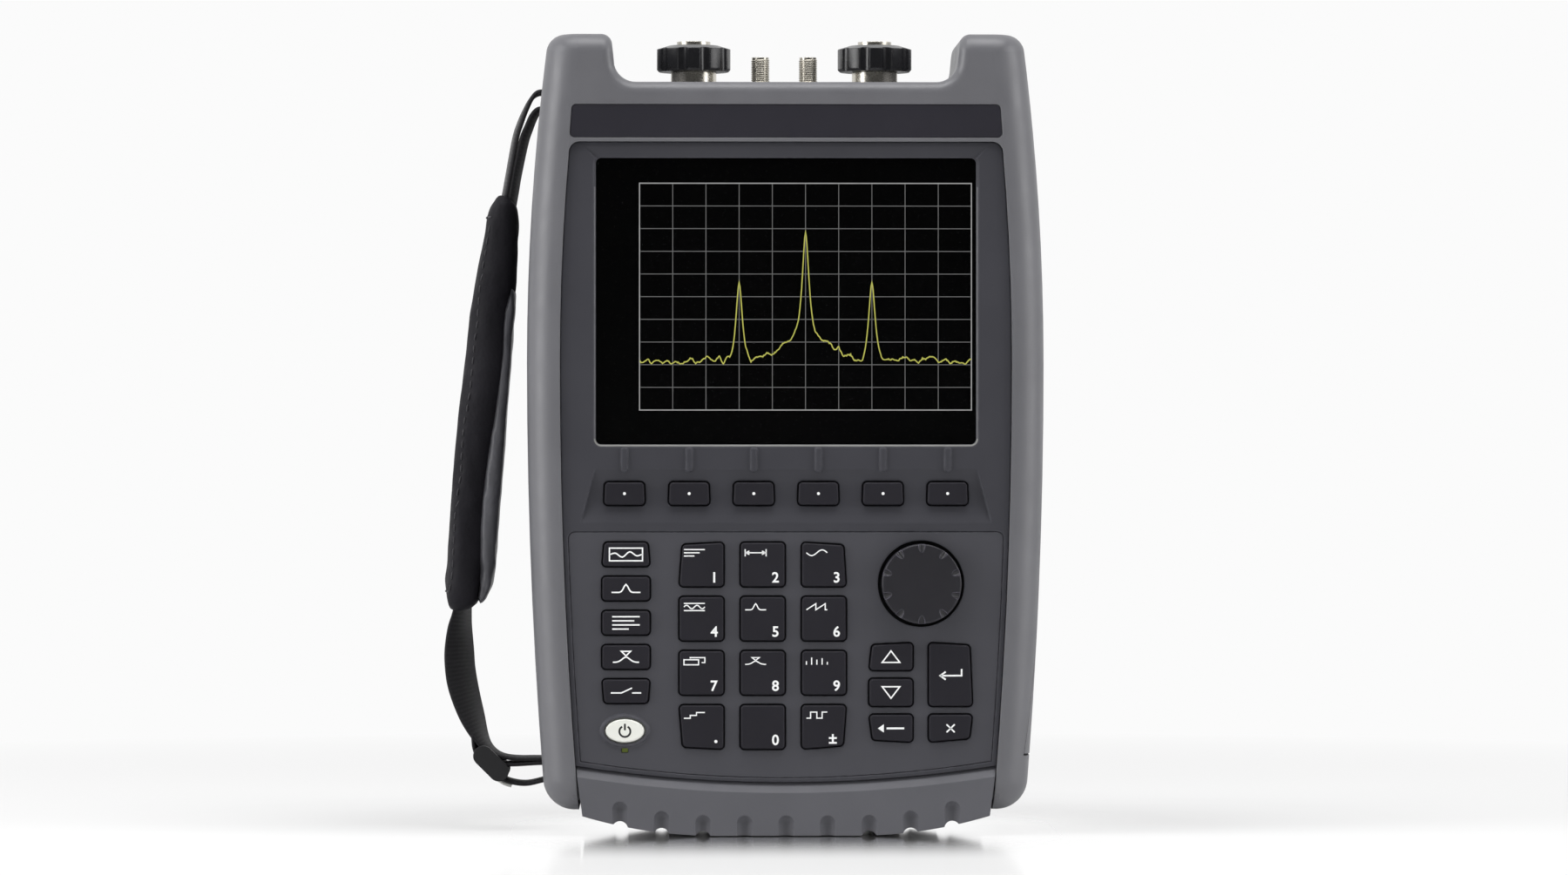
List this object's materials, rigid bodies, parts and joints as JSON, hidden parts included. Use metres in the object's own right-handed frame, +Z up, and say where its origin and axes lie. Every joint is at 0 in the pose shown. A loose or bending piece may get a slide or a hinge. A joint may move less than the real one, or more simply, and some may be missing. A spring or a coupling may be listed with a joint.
{
  "type": "handheld microwave analyzer",
  "caption": "Handheld test instrument with barrel-sided grey case, eared connector bay, display, softkeys, keypad, tuning knob, tilt stand, side doors and a padded hand strap.",
  "frame": {"origin": "middle of the bumper's flat underside, on the surface that the instrument stands on", "axes": "+Z up along the case, -Y out of the display, +X to the viewer's right"},
  "size_m": [0.2193, 0.0768, 0.2919],
  "materials": {
    "case_grey": "fine matt moulded plastic",
    "bezel_dark": "satin moulded plastic",
    "panel_dark": "matt printed panel",
    "key_rubber": "soft matt silicone",
    "power_ivory": "translucent matt silicone",
    "plate_gloss": "satin film",
    "display_glass": "clear hard-coated window",
    "display_panel": "dark display",
    "bumper_rubber": "matt moulded rubber",
    "gasket_rubber": "matt",
    "connector_nickel": "nickel plate",
    "wheel_black": "glossy moulded grip",
    "deck_metal": "matt paint",
    "board_green": "solder mask",
    "shield_steel": "tinned sheet",
    "socket_steel": "nickel-plated shell",
    "shaft_steel": "turned",
    "knob_dark": "soft-touch",
    "battery_black": "matt",
    "strap_fabric": "woven webbing",
    "grip_leather": "grained synthetic leather",
    "buckle_black": "moulded",
    "screw_steel": "blackened steel",
    "lamp": "clear lens"
  },
  "bodies": {
    "case": {"battery_pack": "battery_black", "bottom_bumper": "bumper_rubber", "case_gasket": "gasket_rubber", "case_screws": "screw_steel", "connector_deck": "deck_metal", "display_bezel": "bezel_dark", "display_module": "display_panel", "display_window": "display_glass", "encoder_body": "shield_steel", "front_case": "case_grey", "keypad_board": "board_green", "keypad_mat": "gasket_rubber", "keypad_panel": "panel_dark", "main_board": "board_green", "name_plate": "plate_gloss", "power_lamp": "lamp", "radio_module": "shield_steel", "rear_case": "case_grey", "side_sockets": "socket_steel", "small_jacks": "connector_nickel", "strap_buckle": "buckle_black", "strap_grip": "grip_leather", "strap_webbing": "strap_fabric", "test_ports": "connector_nickel"},
    "tuning_knob": {"tuning_knob": "knob_dark", "encoder_shaft": "shaft_steel"},
    "left_port_wheel": {"left_port_wheel": "wheel_black"},
    "right_port_wheel": {"right_port_wheel": "wheel_black"},
    "battery_door": {"battery_door": "case_grey"},
    "socket_door": {"socket_door": "case_grey"},
    "tilt_stand": {"tilt_stand": "case_grey"},
    "function_key_1": {"function_key_1": "key_rubber"},
    "function_key_2": {"function_key_2": "key_rubber"},
    "function_key_3": {"function_key_3": "key_rubber"},
    "function_key_4": {"function_key_4": "key_rubber"},
    "function_key_5": {"function_key_5": "key_rubber"},
    "key_0": {"key_0": "key_rubber"},
    "key_1": {"key_1": "key_rubber"},
    "key_2": {"key_2": "key_rubber"},
    "key_3": {"key_3": "key_rubber"},
    "key_4": {"key_4": "key_rubber"},
    "key_5": {"key_5": "key_rubber"},
    "key_6": {"key_6": "key_rubber"},
    "key_7": {"key_7": "key_rubber"},
    "key_8": {"key_8": "key_rubber"},
    "key_9": {"key_9": "key_rubber"},
    "key_point": {"key_point": "key_rubber"},
    "key_sign": {"key_sign": "key_rubber"},
    "key_up": {"key_up": "key_rubber"},
    "key_down": {"key_down": "key_rubber"},
    "key_back": {"key_back": "key_rubber"},
    "key_enter": {"key_enter": "key_rubber"},
    "key_escape": {"key_escape": "key_rubber"},
    "power_button": {"power_button": "power_ivory"},
    "softkey_1": {"softkey_1": "key_rubber"},
    "softkey_2": {"softkey_2": "key_rubber"},
    "softkey_3": {"softkey_3": "key_rubber"},
    "softkey_4": {"softkey_4": "key_rubber"},
    "softkey_5": {"softkey_5": "key_rubber"},
    "softkey_6": {"softkey_6": "key_rubber"}
  },
  "joints": [
    {"name": "battery_door_hinge", "type": "hinge", "parent": "case", "child": "battery_door", "pos_m": [0.08739, -0.0045, 0.0255], "axis": [0, 1, 0], "range_deg": [0, 85]},
    {"name": "socket_door_hinge", "type": "hinge", "parent": "case", "child": "socket_door", "pos_m": [0.09235, 0.009, 0.1255], "axis": [0, 1, 0], "range_deg": [0, 85]},
    {"name": "tilt_stand_hinge", "type": "hinge", "parent": "case", "child": "tilt_stand", "pos_m": [0, 0.03295, 0.15575], "axis": [1, 0, 0], "range_deg": [0, 55]},
    {"name": "tuning_knob_turn", "type": "hinge", "parent": "case", "child": "tuning_knob", "pos_m": [0.0491, -0.034, 0.0916], "axis": [0, 1, 0], "continuous": true},
    {"name": "left_wheel_turn", "type": "hinge", "parent": "case", "child": "left_port_wheel", "pos_m": [-0.0334, 0, 0.28455], "axis": [0, 0, 1], "continuous": true},
    {"name": "right_wheel_turn", "type": "hinge", "parent": "case", "child": "right_port_wheel", "pos_m": [0.0334, 0, 0.28455], "axis": [0, 0, 1], "continuous": true},
    {"name": "function_key_1_press", "type": "slide", "parent": "case", "child": "function_key_1", "axis": [0, 1, 0], "range_m": [0, 0.001], "stiffness_N_per_m": 500},
    {"name": "function_key_2_press", "type": "slide", "parent": "case", "child": "function_key_2", "axis": [0, 1, 0], "range_m": [0, 0.001], "stiffness_N_per_m": 500},
    {"name": "function_key_3_press", "type": "slide", "parent": "case", "child": "function_key_3", "axis": [0, 1, 0], "range_m": [0, 0.001], "stiffness_N_per_m": 500},
    {"name": "function_key_4_press", "type": "slide", "parent": "case", "child": "function_key_4", "axis": [0, 1, 0], "range_m": [0, 0.001], "stiffness_N_per_m": 500},
    {"name": "function_key_5_press", "type": "slide", "parent": "case", "child": "function_key_5", "axis": [0, 1, 0], "range_m": [0, 0.001], "stiffness_N_per_m": 500},
    {"name": "key_0_press", "type": "slide", "parent": "case", "child": "key_0", "axis": [0, 1, 0], "range_m": [0, 0.001], "stiffness_N_per_m": 500},
    {"name": "key_1_press", "type": "slide", "parent": "case", "child": "key_1", "axis": [0, 1, 0], "range_m": [0, 0.001], "stiffness_N_per_m": 500},
    {"name": "key_2_press", "type": "slide", "parent": "case", "child": "key_2", "axis": [0, 1, 0], "range_m": [0, 0.001], "stiffness_N_per_m": 500},
    {"name": "key_3_press", "type": "slide", "parent": "case", "child": "key_3", "axis": [0, 1, 0], "range_m": [0, 0.001], "stiffness_N_per_m": 500},
    {"name": "key_4_press", "type": "slide", "parent": "case", "child": "key_4", "axis": [0, 1, 0], "range_m": [0, 0.001], "stiffness_N_per_m": 500},
    {"name": "key_5_press", "type": "slide", "parent": "case", "child": "key_5", "axis": [0, 1, 0], "range_m": [0, 0.001], "stiffness_N_per_m": 500},
    {"name": "key_6_press", "type": "slide", "parent": "case", "child": "key_6", "axis": [0, 1, 0], "range_m": [0, 0.001], "stiffness_N_per_m": 500},
    {"name": "key_7_press", "type": "slide", "parent": "case", "child": "key_7", "axis": [0, 1, 0], "range_m": [0, 0.001], "stiffness_N_per_m": 500},
    {"name": "key_8_press", "type": "slide", "parent": "case", "child": "key_8", "axis": [0, 1, 0], "range_m": [0, 0.001], "stiffness_N_per_m": 500},
    {"name": "key_9_press", "type": "slide", "parent": "case", "child": "key_9", "axis": [0, 1, 0], "range_m": [0, 0.001], "stiffness_N_per_m": 500},
    {"name": "key_point_press", "type": "slide", "parent": "case", "child": "key_point", "axis": [0, 1, 0], "range_m": [0, 0.001], "stiffness_N_per_m": 500},
    {"name": "key_sign_press", "type": "slide", "parent": "case", "child": "key_sign", "axis": [0, 1, 0], "range_m": [0, 0.001], "stiffness_N_per_m": 500},
    {"name": "key_up_press", "type": "slide", "parent": "case", "child": "key_up", "axis": [0, 1, 0], "range_m": [0, 0.001], "stiffness_N_per_m": 500},
    {"name": "key_down_press", "type": "slide", "parent": "case", "child": "key_down", "axis": [0, 1, 0], "range_m": [0, 0.001], "stiffness_N_per_m": 500},
    {"name": "key_back_press", "type": "slide", "parent": "case", "child": "key_back", "axis": [0, 1, 0], "range_m": [0, 0.001], "stiffness_N_per_m": 500},
    {"name": "key_enter_press", "type": "slide", "parent": "case", "child": "key_enter", "axis": [0, 1, 0], "range_m": [0, 0.001], "stiffness_N_per_m": 500},
    {"name": "key_escape_press", "type": "slide", "parent": "case", "child": "key_escape", "axis": [0, 1, 0], "range_m": [0, 0.001], "stiffness_N_per_m": 500},
    {"name": "power_button_press", "type": "slide", "parent": "case", "child": "power_button", "axis": [0, 1, 0], "range_m": [0, 0.001], "stiffness_N_per_m": 500},
    {"name": "softkey_1_press", "type": "slide", "parent": "case", "child": "softkey_1", "axis": [0, 1, 0], "range_m": [0, 0.0007], "stiffness_N_per_m": 500},
    {"name": "softkey_2_press", "type": "slide", "parent": "case", "child": "softkey_2", "axis": [0, 1, 0], "range_m": [0, 0.0007], "stiffness_N_per_m": 500},
    {"name": "softkey_3_press", "type": "slide", "parent": "case", "child": "softkey_3", "axis": [0, 1, 0], "range_m": [0, 0.0007], "stiffness_N_per_m": 500},
    {"name": "softkey_4_press", "type": "slide", "parent": "case", "child": "softkey_4", "axis": [0, 1, 0], "range_m": [0, 0.0007], "stiffness_N_per_m": 500},
    {"name": "softkey_5_press", "type": "slide", "parent": "case", "child": "softkey_5", "axis": [0, 1, 0], "range_m": [0, 0.0007], "stiffness_N_per_m": 500},
    {"name": "softkey_6_press", "type": "slide", "parent": "case", "child": "softkey_6", "axis": [0, 1, 0], "range_m": [0, 0.0007], "stiffness_N_per_m": 500}
  ]
}
